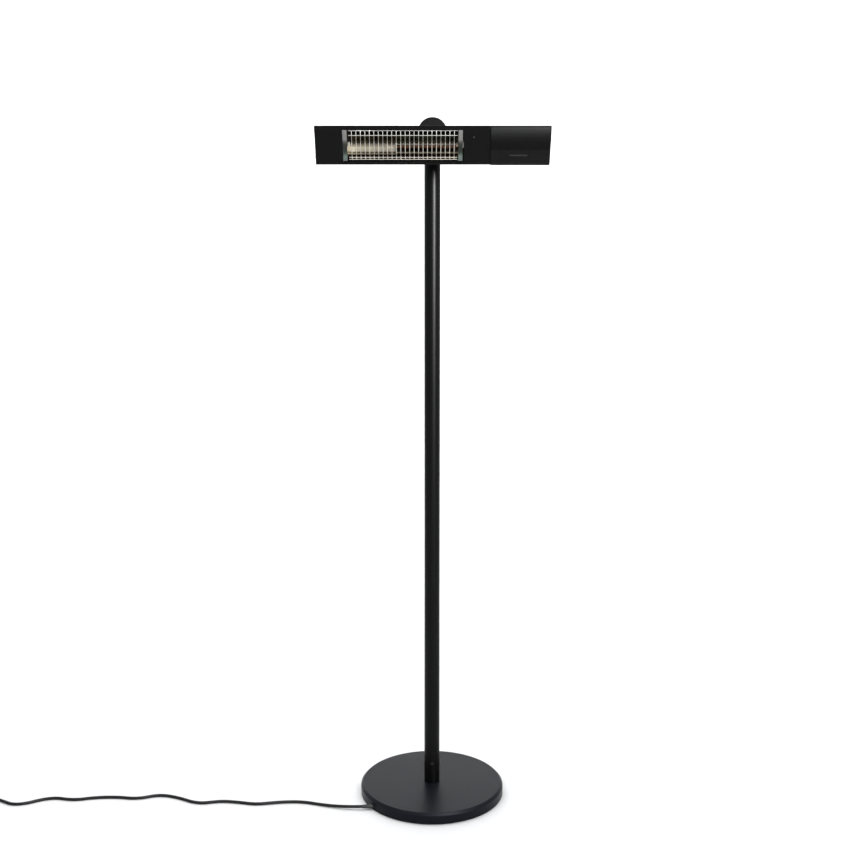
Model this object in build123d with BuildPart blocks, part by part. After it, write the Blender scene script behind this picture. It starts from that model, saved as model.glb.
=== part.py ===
from build123d import *
from math import atan2, cos, degrees, pi, radians, sin, tan
import os

os.makedirs("parts", exist_ok=True)

# Free-standing electric patio heater: a round weighted base, a pole in three sections and a
# tilting infrared head. Millimetres, +Z up, the floor at z = 0, the pole on the Z axis and the
# heater looking along -Y.

# Base
base_radius = 225.0
base_top = 34.0
base_chamfer = 7.0
base_wall = 2.0
skirt_bottom = 2.0
foot_height = 2.5
plate_top = 4.0
ballast_radius = 200.0
ballast_bore = 45.0
ballast_top = 16.0
channel_width = 27.0
foot_circle = 200.0
foot_radius = 14.0
flange_bottom = 28.0
flange_radius = 42.0
tie_circle = 33.0
tie_bolt_radius = 3.0
tie_head_bottom = 0.4

# Pole
pole_radius = 24.15
pole_bore = 22.15
pole_top = 2070.0
section_names = ["pole_lower", "pole_middle", "pole_upper"]
section_length = (pole_top - base_top) / len(section_names)
sleeve_radius = 22.0
sleeve_bore = 19.0
spigot_top = 124.0
coupler_length = 120.0
base_screw_z = 99.0
seam_screw_offset = 35.0
set_screw_radius = 3.0
set_hole_radius = 3.2
cap_height = 3.0
grommet_z = 2000.0

# Swivel mount
disc_radius = 43.0
disc_z = 2046.0
disc_front = -38.0
disc_back = -32.0
saddle_front = -14.0
saddle_width = 40.0
saddle_height = 58.0
fork_z = 2036.0
fork_screw_radius = 2.5
fork_hole_radius = 2.6
fork_front = disc_front - 4.0
ear_inner = 18.2
ear_outer = 22.4
ear_radius = 11.0
lug_inner = 12.3
lug_outer = 16.7
lug_radius = 10.5
bolt_radius = 4.0
bolt_hole = 4.05
bolt_head_height = 5.3
nut_height = 6.5
hex_radius = 7.4
pivot_y = -70.0
pivot_z = 2038.0

# Head, seen from the front: x to the right, up along the face, depth behind the face
head_length = 670.0
face_height = 111.0
head_depth = 78.0
head_tilt = 25.0
taper = 18.0
skin = 1.6
panel = 1.5
cap_thickness = 3.0
back_radius = 6.0
lip_height = 3.8
pivot_depth = 96.0
pivot_up = 10.5
body_half = head_length / 2 - cap_thickness
seam_x = 164.0
window_x = -84.2
window_width = 344.6
window_up = -3.3
window_height = 94.6
window_return = 6.0
led_x = 116.8
led_up = 23.5
head_screw_radius = 2.0
head_hole_radius = 2.1
bracket_screw_x = 36.0
bracket_screw_up = 12.0
gland_x = 107.0
gland_up = -16.0

# Control cover: its profile's heights, the band recessed into it and its place along X
cover_left = seam_x + 0.8
cover_right = body_half - 0.2
cover_back = 1.3
cover_bottom = -57.5
crown = -5.0
crown_top = 22.5
crown_bottom = -45.0
band = -3.2
band_left = 187.0
band_top = -13.7

# Lamp, reflector and guard
lamp_x = -83.85
lamp_depth = 22.0
lamp_up = -2.9
lamp_radius = 5.5
lamp_length = 316.0
reflector_x = window_x - 1.2
flange_outer = 170.6
flange_inner = 158.5
reflector_half = flange_inner - 1.0
sheet = 0.6
wire_radius = 1.0
wire_count = 24
wire_pitch = 12.67
wire_depth = 4.5
wire_end = 10.0
guard_x = lamp_x - 0.7
guard_top = 40.9
guard_bottom = -43.8
bar_half_length = 155.0

# Electrics
board_x = 240.0
board_depth = 30.0
board_thickness = 1.6
board_hole_pitch = (100, 32)
terminal_x = 130.0
terminal_up = 8.0
terminal_height = 16.0
switch_depth = 30.0
switch_up = 2.9

# Mains lead
lead_radius = 4.5
lead_height = 10.5
exit_angle = 215.0
exit_heading = 185.0
floor_z = lead_radius
inner_bend = 38.0
outlet_angle = 45.0

# Directions and planes of the tilted head
front = Vector(0, -cos(radians(head_tilt)), -sin(radians(head_tilt)))
rear = front * -1
up = Vector(0, -sin(radians(head_tilt)), cos(radians(head_tilt)))
pivot = Vector(0, pivot_y, pivot_z)
face_centre = pivot + front * pivot_depth - up * pivot_up
face_plane = Plane(origin=face_centre, x_dir=(1, 0, 0), z_dir=front)


def in_head(x, height, depth):
    """Point of the head frame in the heater's own frame."""
    return face_centre + Vector(x, 0, 0) + up * height + rear * depth


def finish(piece, label):
    """Name a finished piece and write its STEP file."""
    piece.part.label = label
    export_step(piece.part, f"parts/{label}.step")


def across(x):
    """Section plane of the head at x: its own x is the depth behind the face, its y is up."""
    return Plane(origin=face_centre + Vector(x, 0, 0), x_dir=rear, z_dir=(1, 0, 0))


def facing_rear(depth, x=0.0, height=0.0):
    """Plane that looks to the rear at a depth, with its own x along -X and its y up."""
    spot = face_centre + Vector(x, 0, 0) + rear * depth + up * height
    return Plane(origin=spot, x_dir=(-1, 0, 0), z_dir=rear)


def half_height(depth):
    """Half of the housing's outside height at a depth behind the face."""
    return face_height / 2 - 0.5 - (depth - panel) * tan(radians(taper))


def housing_outline(front_depth, inset):
    """Closed section of the tapered housing, moved inwards by an inset, inside a sketch."""
    back = head_depth - inset
    slant = inset / cos(radians(taper))
    top_front = half_height(front_depth) - slant
    top_back = half_height(back) - slant
    with BuildLine() as outline:
        Polyline(
            (front_depth, top_front), (back, top_back),
            (back, -top_back), (front_depth, -top_front), close=True,
        )
    make_face(outline.edges())


def cover_outline():
    """Closed section of the control cover, round at its top and bottom, inside a sketch."""
    top = face_height / 2
    with BuildLine() as outline:
        TangentArc((crown, crown_top), (cover_back, top), tangent=(0, 1))
        Line((cover_back, top), (cover_back, cover_bottom))
        TangentArc((crown, crown_bottom), (cover_back, cover_bottom), tangent=(0, -1))
        Line((crown, crown_bottom), (crown, crown_top))
    make_face(outline.edges())


def screw(seat, shank_radius, shank_length, head_radius, head_height, socket_radius):
    """Round screw on a seat plane that looks out of its head, inside a part."""
    with BuildSketch(seat) as head:
        Circle(head_radius)
    extrude(head.sketch, amount=head_height, taper=12)
    with BuildSketch(seat) as shank:
        Circle(shank_radius)
    extrude(shank.sketch, amount=-shank_length)
    with BuildSketch(seat.offset(head_height)) as socket:
        RegularPolygon(socket_radius, 6)
    extrude(socket.sketch, amount=-0.6 * head_height, mode=Mode.SUBTRACT)


def bend_radii(points):
    """Each corner's radius: 0.45 of its shorter run over the tangent of half its turn."""
    radii = []
    for before, corner, after in zip(points, points[1:], points[2:]):
        run_in = corner - before
        run_out = after - corner
        half_turn = radians(run_in.get_angle(run_out) / 2)
        radii.append(0.45 * min(run_in.length, run_out.length) / tan(half_turn))
    return radii


def lay_tube(points, radii, radius):
    """Round tube along straight runs and tangent arcs, inside a part."""
    with BuildLine() as path:
        FilletPolyline(*points, radius=radii)
    with BuildSketch(Plane(path.line @ 0, z_dir=path.line % 0)) as section:
        Circle(radius)
    sweep(section.sketch, path=path.line)


def report_tube(name, piece, points, radii, radius):
    """Print a tube's bends, and its volume against its section times its length."""
    with BuildLine() as path:
        FilletPolyline(*points, radius=radii)
    length = sum(edge.length for edge in path.edges())
    ratio = piece.part.volume / (pi * radius**2 * length)
    print(f"{name}: length {length:.0f}, volume ratio {ratio:.4f}, radii", [round(r) for r in radii])


# ------------------------------------------------------------------ base

rim_exit = Vector(
    base_radius * cos(radians(exit_angle)), base_radius * sin(radians(exit_angle)), lead_height
)
exit_dir = Vector(cos(radians(exit_heading)), sin(radians(exit_heading)), 0)
exit_axis = Axis(rim_exit, exit_dir)
lead_section = Plane(origin=rim_exit, x_dir=exit_dir, z_dir=exit_dir.cross(Vector(0, 0, 1)))

# Pressed steel cover with a chamfered rim; the lead leaves through a hole in its skirt
miter = base_wall * tan(radians(22.5))
with BuildPart() as base_cover:
    with BuildSketch(Plane.XZ):
        with BuildLine():
            FilletPolyline(
                (sleeve_radius + 0.05, base_top), (base_radius - base_chamfer, base_top),
                (base_radius, base_top - base_chamfer), (base_radius, skirt_bottom), radius=1.5,
            )
            Polyline(
                (base_radius, skirt_bottom), (base_radius - base_wall, skirt_bottom),
                (base_radius - base_wall, base_top - base_chamfer - miter),
                (base_radius - base_chamfer - miter, base_top - base_wall),
                (sleeve_radius + 0.05, base_top - base_wall), (sleeve_radius + 0.05, base_top),
            )
        make_face()
    revolve(axis=Axis.Z)
    with BuildSketch(Plane(origin=rim_exit - exit_dir * 20, z_dir=exit_dir)):
        Circle(6.0)
    extrude(amount=40, mode=Mode.SUBTRACT)
finish(base_cover, "base_cover")

tie_seats = PolarLocations(tie_circle, 4, start_angle=exit_angle + 45)

# Steel plate that closes the base from below
with BuildPart() as base_plate:
    with BuildSketch(Plane.XY.offset(foot_height)):
        Circle(base_radius - base_wall - 0.3)
        Circle(9.0, mode=Mode.SUBTRACT)
        with tie_seats:
            Circle(tie_bolt_radius + 0.2, mode=Mode.SUBTRACT)
    extrude(amount=plate_top - foot_height)
finish(base_plate, "base_plate")

# Rubber feet
with BuildPart() as base_feet:
    with BuildSketch():
        with PolarLocations(foot_circle, 6, start_angle=30):
            Circle(foot_radius)
    extrude(amount=foot_height)
    chamfer(base_feet.faces().sort_by(Axis.Z)[:6].edges(), 0.8)
finish(base_feet, "base_feet")

# Cast ballast ring with a channel for the lead
bend_point = rim_exit - exit_dir * 38
channel_angle = degrees(atan2(bend_point.Y, bend_point.X))
with BuildPart() as base_ballast:
    with BuildSketch(Plane.XY.offset(plate_top)):
        Circle(ballast_radius)
        Circle(ballast_bore, mode=Mode.SUBTRACT)
        with Locations(Location((0, 0, 0), (0, 0, channel_angle))):
            with Locations((ballast_radius / 2, 0)):
                Rectangle(ballast_radius + 20, channel_width, mode=Mode.SUBTRACT)
    extrude(amount=ballast_top - plate_top)
finish(base_ballast, "base_ballast")

# Flanged spigot that stands up inside the pole
with BuildPart() as pole_spigot:
    with BuildSketch(Plane.XY.offset(flange_bottom)):
        Circle(flange_radius)
        Circle(sleeve_bore, mode=Mode.SUBTRACT)
        with tie_seats:
            Circle(tie_bolt_radius, mode=Mode.SUBTRACT)
    extrude(amount=base_top - base_wall - flange_bottom)
    with BuildSketch(Plane.XY.offset(base_top - base_wall)):
        Circle(sleeve_radius)
        Circle(sleeve_bore, mode=Mode.SUBTRACT)
    extrude(amount=spigot_top - base_top + base_wall)
    with BuildSketch(Plane.XZ):
        with Locations((0, base_screw_z)):
            Circle(set_screw_radius)
    extrude(amount=pole_radius, mode=Mode.SUBTRACT)
finish(pole_spigot, "pole_spigot")

# Bolts that clamp the plate to the spigot's flange
with BuildPart() as base_tie_bolts:
    with BuildSketch(Plane.XY.offset(tie_head_bottom)):
        with tie_seats:
            Circle(tie_bolt_radius + 2.0)
            RegularPolygon(2.2, 6, mode=Mode.SUBTRACT)
    extrude(amount=foot_height - tie_head_bottom)
    with BuildSketch(Plane.XY.offset(foot_height - 0.6)):
        with tie_seats:
            Circle(tie_bolt_radius)
    extrude(amount=flange_bottom + 4.0 - foot_height + 0.6)
finish(base_tie_bolts, "base_tie_bolts")

# Rubber strain relief in the skirt
with BuildPart() as base_grommet:
    with BuildSketch(lead_section):
        with BuildLine():
            Polyline(
                (-9.5, 4.6), (-9.5, 6.4), (-6.8, 6.4), (-6.8, 5.9), (4.0, 5.9), (4.0, 7.0),
                (6.5, 7.0), (7.5, 6.6), (30.0, 5.2), (30.0, 4.6), close=True,
            )
        make_face()
    revolve(axis=exit_axis)
finish(base_grommet, "base_grommet")

# ------------------------------------------------------------------ pole

outlet_dir = Vector(cos(radians(outlet_angle)), sin(radians(outlet_angle)), 0)
outlet_plane = Plane(origin=(0, 0, grommet_z), z_dir=outlet_dir)

# Three equal tubes, one on the other
for level, label in enumerate(section_names):
    section_bottom = base_top + level * section_length
    with BuildPart() as pole_section:
        with BuildSketch(Plane.XY.offset(section_bottom)):
            Circle(pole_radius)
            Circle(pole_bore, mode=Mode.SUBTRACT)
        extrude(amount=section_length)
        rims = pole_section.edges().filter_by(GeomType.CIRCLE).group_by(SortBy.RADIUS)[-1]
        chamfer(rims, 0.5)
        if label == "pole_lower":
            with BuildSketch(Plane.XZ):
                with Locations((0, base_screw_z)):
                    Circle(set_hole_radius)
            extrude(amount=pole_radius, mode=Mode.SUBTRACT)
        seam_screws = []
        if level > 0:
            seam_screws.append((0, section_bottom + seam_screw_offset))
        if level < len(section_names) - 1:
            seam_screws.append((0, section_bottom + section_length - seam_screw_offset))
        with BuildSketch(Plane.XZ):
            with Locations(*seam_screws):
                Circle(set_hole_radius)
        extrude(amount=-pole_radius, mode=Mode.SUBTRACT)
        if label == "pole_upper":
            with BuildSketch(outlet_plane):
                Circle(7.0)
            extrude(amount=pole_radius, mode=Mode.SUBTRACT)
            with BuildSketch(Plane.XZ):
                with Locations((0, fork_z)):
                    with GridLocations(18, 26, 2, 2):
                        Circle(2.7)
            extrude(amount=pole_radius, mode=Mode.SUBTRACT)
    finish(pole_section, label)

# Inner sleeves that join the tubes
for level, label in enumerate(["coupler_lower", "coupler_upper"], start=1):
    seam_z = base_top + level * section_length
    with BuildPart() as coupler:
        with BuildSketch(Plane.XY.offset(seam_z - coupler_length / 2)):
            Circle(sleeve_radius)
            Circle(sleeve_bore, mode=Mode.SUBTRACT)
        extrude(amount=coupler_length)
        with BuildSketch(Plane.XZ):
            with Locations((0, seam_z - seam_screw_offset), (0, seam_z + seam_screw_offset)):
                Circle(set_screw_radius)
        extrude(amount=-pole_radius, mode=Mode.SUBTRACT)
    finish(coupler, label)

# Button head screws: one at the foot of the pole in front, four at the seams behind
with BuildPart() as pole_set_screws:
    seats = [Plane((0, -pole_radius, base_screw_z), z_dir=(0, -1, 0))]
    for level in (1, 2):
        for offset_z in (-seam_screw_offset, seam_screw_offset):
            screw_z = base_top + level * section_length + offset_z
            seats.append(Plane((0, pole_radius, screw_z), z_dir=(0, 1, 0)))
    for seat in seats:
        screw(seat, set_screw_radius, 6.0, 5.2, 2.8, 1.9)
finish(pole_set_screws, "pole_set_screws")

# Plastic plug in the pole's top
with BuildPart() as pole_cap:
    with BuildSketch(Plane.XY.offset(pole_top)):
        Circle(pole_radius)
    extrude(amount=cap_height)
    fillet(pole_cap.edges().sort_by(Axis.Z)[-1], 1.5)
    with BuildSketch(Plane.XY.offset(pole_top)):
        Circle(pole_bore - 0.1)
        Circle(pole_bore - 2.5, mode=Mode.SUBTRACT)
    extrude(amount=-7.0)
finish(pole_cap, "pole_cap")

# Rubber grommet where the lead leaves the pole, behind it and to its +X side
outlet_axis = Axis((0, 0, grommet_z), outlet_dir)
outlet_section = Plane(
    origin=(0, 0, grommet_z), x_dir=outlet_dir, z_dir=outlet_dir.cross(Vector(0, 0, 1))
)
with BuildPart() as pole_grommet:
    with BuildSketch(outlet_section):
        with BuildLine():
            Polyline(
                (19.0, 4.6), (19.0, 6.9), (24.3, 6.9), (24.3, 9.0), (26.6, 9.0), (27.6, 6.4),
                (31.0, 5.6), (31.0, 4.6), close=True,
            )
        make_face()
    revolve(axis=outlet_axis)
finish(pole_grommet, "pole_grommet")

# ------------------------------------------------------------------ swivel mount

fork_holes = [(x, fork_z + z) for x in (-9, 9) for z in (-13, 13)]

# Cast saddle between the round pole and the flat disc
with BuildPart() as pole_saddle:
    with BuildSketch(Plane.XZ.offset(-saddle_front)):
        with Locations((0, disc_z)):
            RectangleRounded(saddle_width, saddle_height, 4)
    extrude(amount=saddle_front - disc_back)
    with BuildSketch(Plane.XY.offset(disc_z - 40)):
        Circle(pole_radius + 0.05)
    extrude(amount=80, mode=Mode.SUBTRACT)
    with BuildSketch(Plane.XZ):
        with Locations(*fork_holes):
            Circle(fork_hole_radius)
    extrude(amount=-disc_back, mode=Mode.SUBTRACT)
finish(pole_saddle, "pole_saddle")

# Round plate on the saddle, flat face to the front
with BuildPart() as mount_disc:
    with BuildSketch(Plane.XZ.offset(-disc_back)):
        with Locations((0, disc_z)):
            Circle(disc_radius)
        with Locations(*fork_holes):
            Circle(fork_hole_radius, mode=Mode.SUBTRACT)
    extrude(amount=disc_back - disc_front)
    rim = mount_disc.edges().filter_by(GeomType.CIRCLE).group_by(SortBy.RADIUS)[-1]
    chamfer(rim, 1.2)
finish(mount_disc, "mount_disc")

# Fork with two ears that carry the pivot bolt
with BuildPart() as pivot_fork:
    with BuildSketch(Plane.XZ.offset(-disc_front)):
        with Locations((0, fork_z)):
            Rectangle(2 * ear_outer, 40)
        with Locations(*fork_holes):
            Circle(fork_hole_radius, mode=Mode.SUBTRACT)
    extrude(amount=disc_front - fork_front)
    for ear_x in (-ear_outer, ear_inner):
        with BuildSketch(Plane.YZ.offset(ear_x)):
            with Locations((pivot_y, pivot_z)):
                Circle(ear_radius)
            with Locations((fork_front - 0.5, fork_z)):
                Rectangle(1.0, 36)
            make_hull()
        extrude(amount=ear_outer - ear_inner)
    with BuildSketch(Plane.YZ.offset(-ear_outer)):
        with Locations((pivot_y, pivot_z)):
            Circle(bolt_hole)
    extrude(amount=2 * ear_outer, mode=Mode.SUBTRACT)
finish(pivot_fork, "pivot_fork")

# Nut plate inside the pole, behind the saddle
with BuildPart() as nut_plate:
    with BuildSketch(Plane.XZ.offset(12.5)):
        with Locations((0, fork_z)):
            RectangleRounded(24, 44, 3)
        with Locations(*fork_holes):
            Circle(fork_screw_radius, mode=Mode.SUBTRACT)
    extrude(amount=5.0)
finish(nut_plate, "nut_plate")

# Four screws through fork, disc, saddle and pole into the nut plate
with BuildPart() as fork_screws:
    for screw_x, screw_z in fork_holes:
        seat = Plane((screw_x, fork_front, screw_z), z_dir=(0, -1, 0))
        screw(seat, fork_screw_radius, 29.5, 4.2, 3.0, 1.7)
finish(fork_screws, "fork_screws")

# Pivot bolt along X, its washers and its nut
washer_outer = ear_outer + 1.6
with BuildPart() as pivot_bolt:
    with BuildSketch(Plane.YZ.offset(-washer_outer - bolt_head_height)):
        with Locations((pivot_y, pivot_z)):
            RegularPolygon(hex_radius, 6)
    extrude(amount=bolt_head_height)
    with BuildSketch(Plane.YZ.offset(-washer_outer)):
        with Locations((pivot_y, pivot_z)):
            Circle(bolt_radius)
    extrude(amount=2 * washer_outer + 9.0)
    chamfer(pivot_bolt.edges().sort_by(Axis.X)[-1], 0.8)
finish(pivot_bolt, "pivot_bolt")

with BuildPart() as pivot_nut:
    with BuildSketch(Plane.YZ.offset(washer_outer)):
        with Locations((pivot_y, pivot_z)):
            RegularPolygon(hex_radius, 6)
            Circle(bolt_radius, mode=Mode.SUBTRACT)
    extrude(amount=nut_height)
finish(pivot_nut, "pivot_nut")

with BuildPart() as pivot_washers:
    for washer_x, thickness in (
        (-washer_outer, 1.6), (ear_outer, 1.6), (-ear_inner, 1.2), (ear_inner - 1.2, 1.2),
    ):
        with BuildSketch(Plane.YZ.offset(washer_x)):
            with Locations((pivot_y, pivot_z)):
                Circle(8.0)
                Circle(bolt_hole, mode=Mode.SUBTRACT)
        extrude(amount=thickness)
finish(pivot_washers, "pivot_washers")

# ------------------------------------------------------------------ head shell

# Housing: a trough that narrows to the rear, with lips in front and vents behind
with BuildPart() as housing:
    with BuildSketch(across(-body_half)) as housing_section:
        housing_outline(panel, 0)
        fillet(housing_section.vertices().sort_by(Axis.X)[-2:], back_radius)
    extrude(amount=2 * body_half)
    with BuildSketch(across(-body_half)) as housing_hollow:
        housing_outline(panel + skin, skin)
        fillet(housing_hollow.vertices().sort_by(Axis.X)[-2:], back_radius - skin)
    extrude(amount=2 * body_half, mode=Mode.SUBTRACT)
    with BuildSketch(face_plane.offset(-panel)):
        Rectangle(2 * body_half, face_height - 2 * lip_height)
    extrude(amount=-2 * skin, mode=Mode.SUBTRACT)
    with BuildSketch(facing_rear(head_depth - 2 * skin)):
        with Locations((-250, 0)):
            with GridLocations(11, 22, 11, 2):
                SlotOverall(16, 3.6, rotation=90)
        with GridLocations(2 * bracket_screw_x, 2 * bracket_screw_up, 2, 2):
            Circle(head_hole_radius)
        with Locations((-gland_x, gland_up)):
            Circle(8.1)
    extrude(amount=3 * skin, mode=Mode.SUBTRACT)
    vent_plane = Plane(origin=face_centre + rear * 54 + up * 22, x_dir=(1, 0, 0), z_dir=up)
    with BuildSketch(vent_plane):
        with Locations((window_x, 0)):
            with GridLocations(27, 12, 12, 2):
                SlotOverall(20, 3.6)
    extrude(amount=30, mode=Mode.SUBTRACT)
finish(housing, "housing")

# Steel front panel with the lamp window, a slanting sill below it, and the indicator hole
sill_back = 8.0
sill_top = -46.0
window_bottom = window_up - window_height / 2
with BuildPart() as front_panel:
    with BuildSketch(face_plane.offset(-panel)):
        with Locations(((seam_x - body_half) / 2, 0)):
            Rectangle(seam_x + body_half, face_height)
        with Locations((window_x, window_up)):
            RectangleRounded(window_width, window_height, 3, mode=Mode.SUBTRACT)
        with Locations((led_x, led_up)):
            Circle(1.7, mode=Mode.SUBTRACT)
    extrude(amount=panel)
    with BuildSketch(face_plane.offset(-window_return)):
        with Locations((window_x, window_up)):
            RectangleRounded(window_width + 1.6, window_height + 1.6, 3.8)
            RectangleRounded(window_width, window_height, 3, mode=Mode.SUBTRACT)
    extrude(amount=window_return - panel)
    with BuildSketch(across(window_x - window_width / 2 + 3)):
        with BuildLine():
            Polyline(
                (0.2, window_bottom), (sill_back, sill_top), (sill_back, sill_top - 1.4),
                (2.6, window_bottom), close=True,
            )
        make_face()
    extrude(amount=window_width - 6)
    long_edges = front_panel.edges().filter_by(Axis.X).group_by(Axis((0, 0, 0), up))
    chamfer(long_edges[0].sort_by(Axis((0, 0, 0), front))[-1], 0.7)
    chamfer(long_edges[-1].sort_by(Axis((0, 0, 0), front))[-1], 0.7)
finish(front_panel, "front_panel")

# Moulded control cover: a crowned front, a recessed band and three ridges
with BuildPart() as control_cover:
    with BuildSketch(across(cover_left)):
        cover_outline()
    extrude(amount=cover_right - cover_left)
    with BuildSketch(across(band_left)):
        with BuildLine():
            Polyline(
                (crown - 1, band_top + 1.2), (band, band_top), (band, cover_bottom - 3),
                (crown - 1, cover_bottom - 3), close=True,
            )
        make_face()
    extrude(amount=cover_right - band_left, mode=Mode.SUBTRACT)
    with BuildSketch(across(cover_left + 2.5)):
        with BuildLine():
            Polyline(
                (1.3, 50), (-1.4, 38), (-2.4, 22), (-2.4, -11), (-0.8, -14.5), (-0.8, -45),
                (1.3, -50), close=True,
            )
        make_face()
    extrude(amount=cover_right - cover_left - 5.0, mode=Mode.SUBTRACT)
    with BuildSketch(across(cover_left + 6)):
        with Locations((band, -33.0), (band, -39.9), (band, -46.8)):
            Circle(1.2)
    extrude(amount=cover_right - cover_left - 8)
finish(control_cover, "control_cover")

# Plain badge on the recessed band
with BuildPart() as badge_plate:
    with BuildSketch(face_plane.offset(-band)):
        with Locations((245, -27.5)):
            RectangleRounded(51, 4.4, 1.0)
    extrude(amount=0.7)
finish(badge_plate, "badge_plate")

# Lens of the indicator lamp
with BuildPart() as led_lens:
    with BuildSketch(face_plane.offset(-5)):
        with Locations((led_x, led_up)):
            Circle(1.6)
    extrude(amount=5.8)
    fillet(led_lens.edges().sort_by(Axis((0, 0, 0), front))[-1], 0.7)
finish(led_lens, "led_lens")

# End caps; the right one follows the control cover and holds the switch
cap_screws = [(14, 38), (14, -38), (66, 0)]
for label, inner_x, outwards in (("end_cap_left", -body_half, -1), ("end_cap_right", body_half, 1)):
    with BuildPart() as end_cap:
        with BuildSketch(across(inner_x)) as cap_section:
            with BuildLine():
                Polyline(
                    (0, face_height / 2), (panel, face_height / 2),
                    (head_depth, half_height(head_depth)),
                    (head_depth, -half_height(head_depth)),
                    (panel, -face_height / 2), (0, -face_height / 2), close=True,
                )
            make_face()
            fillet(cap_section.vertices().group_by(Axis.X)[-1], back_radius)
            if outwards > 0:
                cover_outline()
        extrude(amount=outwards * cap_thickness)
        outer_face = end_cap.faces().sort_by(Axis.X)[-1 if outwards > 0 else 0]
        chamfer(outer_face.outer_wire().edges(), 0.8)
        with BuildSketch(across(inner_x)):
            with Locations(*cap_screws):
                Circle(head_hole_radius)
            if outwards > 0:
                with Locations((switch_depth, switch_up)):
                    Rectangle(16.4, 23.8)
        extrude(amount=outwards * cap_thickness, mode=Mode.SUBTRACT)
    finish(end_cap, label)

with BuildPart() as end_cap_screws:
    for side in (-1, 1):
        for screw_depth, screw_up in cap_screws:
            seat_x = side * head_length / 2
            seat_origin = face_centre + Vector(seat_x, 0, 0) + rear * screw_depth + up * screw_up
            screw(Plane(seat_origin, z_dir=(side, 0, 0)), head_screw_radius, 7.0, 3.6, 1.8, 1.3)
finish(end_cap_screws, "end_cap_screws")

# ------------------------------------------------------------------ head mount and lead outlet

bracket_back = head_depth + 3.0
with BuildPart() as head_bracket:
    with BuildSketch(facing_rear(head_depth)):
        RectangleRounded(90, 40, 4)
        with GridLocations(2 * bracket_screw_x, 2 * bracket_screw_up, 2, 2):
            Circle(head_hole_radius, mode=Mode.SUBTRACT)
    extrude(amount=bracket_back - head_depth)
    for lug_x in (-lug_outer, lug_inner):
        with BuildSketch(across(lug_x)):
            with Locations((pivot_depth, pivot_up)):
                Circle(lug_radius)
            with Locations((bracket_back - 0.5, 2)):
                Rectangle(1.0, 32)
            make_hull()
        extrude(amount=lug_outer - lug_inner)
    with BuildSketch(across(-lug_outer)):
        with Locations((pivot_depth, pivot_up)):
            Circle(bolt_hole)
    extrude(amount=2 * lug_outer, mode=Mode.SUBTRACT)
finish(head_bracket, "head_bracket")

with BuildPart() as bracket_screws:
    for screw_x in (-bracket_screw_x, bracket_screw_x):
        for screw_up in (-bracket_screw_up, bracket_screw_up):
            seat = facing_rear(bracket_back, screw_x, screw_up)
            screw(seat, head_screw_radius, 6.5, 3.6, 2.0, 1.3)
finish(bracket_screws, "bracket_screws")

gland_seat = facing_rear(head_depth, gland_x, gland_up)
gland_tip = 20.0
with BuildPart() as rear_gland:
    with BuildSketch(gland_seat):
        RegularPolygon(11.0, 6)
    extrude(amount=5.0)
    with BuildSketch(gland_seat.offset(5.0)):
        Circle(9.0)
    extrude(amount=gland_tip - 5.0, taper=11)
    with BuildSketch(gland_seat):
        Circle(8.0)
    extrude(amount=-8.0)
    with BuildSketch(gland_seat.offset(-8.0)):
        Circle(4.6)
    extrude(amount=gland_tip + 8.0, mode=Mode.SUBTRACT)
finish(rear_gland, "rear_gland")

# ------------------------------------------------------------------ lamp compartment

# Folded aluminium reflector
mouth = 6.0
low_mouth = sill_back + 0.3
well = 50.0
with BuildPart() as reflector:
    with BuildSketch(across(reflector_x - reflector_half)):
        with BuildLine():
            trough = FilletPolyline(
                (mouth, 43.4), (30, 35.5), (well, 17.5), (well, -20), (30, -39.5),
                (low_mouth, -47), radius=7,
            )
            offset(trough, amount=sheet, side=Side.LEFT)
        make_face()
    extrude(amount=2 * reflector_half)
finish(reflector, "reflector")

# Splayed end plates of the reflector, each with a flange beside the window's edge
end_top = 42.2
end_bottom = -45.4
for label, side in (("reflector_end_left", -1), ("reflector_end_right", 1)):
    outer_x = reflector_x + side * flange_outer
    inner_x = reflector_x + side * flange_inner
    foot_x = inner_x - side * 10.0
    plan = Plane(origin=face_centre + up * end_bottom, x_dir=(1, 0, 0), z_dir=up)
    with BuildPart() as reflector_end:
        with BuildSketch(plan):
            with BuildLine():
                splay = Polyline((outer_x, 3.4), (inner_x, 3.4), (foot_x, 47))
                offset(splay, amount=sheet, side=Side.LEFT if side < 0 else Side.RIGHT)
            make_face()
        extrude(amount=end_top - end_bottom)
        with BuildSketch(across(reflector_x - flange_outer)):
            with BuildLine():
                Polyline(
                    (2, end_top), (mouth, end_top), (29, 34.6), (48.5, 16.5), (48.5, -19),
                    (29, -38.5), (low_mouth, end_bottom), (2, end_bottom), close=True,
                )
            make_face()
        extrude(amount=2 * flange_outer, mode=Mode.INTERSECT)
        with BuildSketch(across(reflector_x - flange_outer)):
            with Locations((lamp_depth, lamp_up)):
                Circle(lamp_radius + 1.7)
        extrude(amount=2 * flange_outer, mode=Mode.SUBTRACT)
    finish(reflector_end, label)

# Quartz tube, heating coil, ceramic caps and their holders
tube_half = lamp_length / 2
cap_mouth = tube_half - 5.0
cap_floor = tube_half + 1.0
cap_end = tube_half + 14.0
with BuildPart() as lamp_tube:
    with BuildSketch(across(lamp_x - tube_half)):
        with Locations((lamp_depth, lamp_up)):
            Circle(lamp_radius)
            Circle(lamp_radius - 1.1, mode=Mode.SUBTRACT)
    extrude(amount=lamp_length)
finish(lamp_tube, "lamp_tube")

with BuildPart() as heating_coil:
    with BuildSketch(across(lamp_x - cap_floor)):
        with Locations((lamp_depth, lamp_up)):
            Circle(1.7)
    extrude(amount=2 * cap_floor)
finish(heating_coil, "heating_coil")

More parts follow.
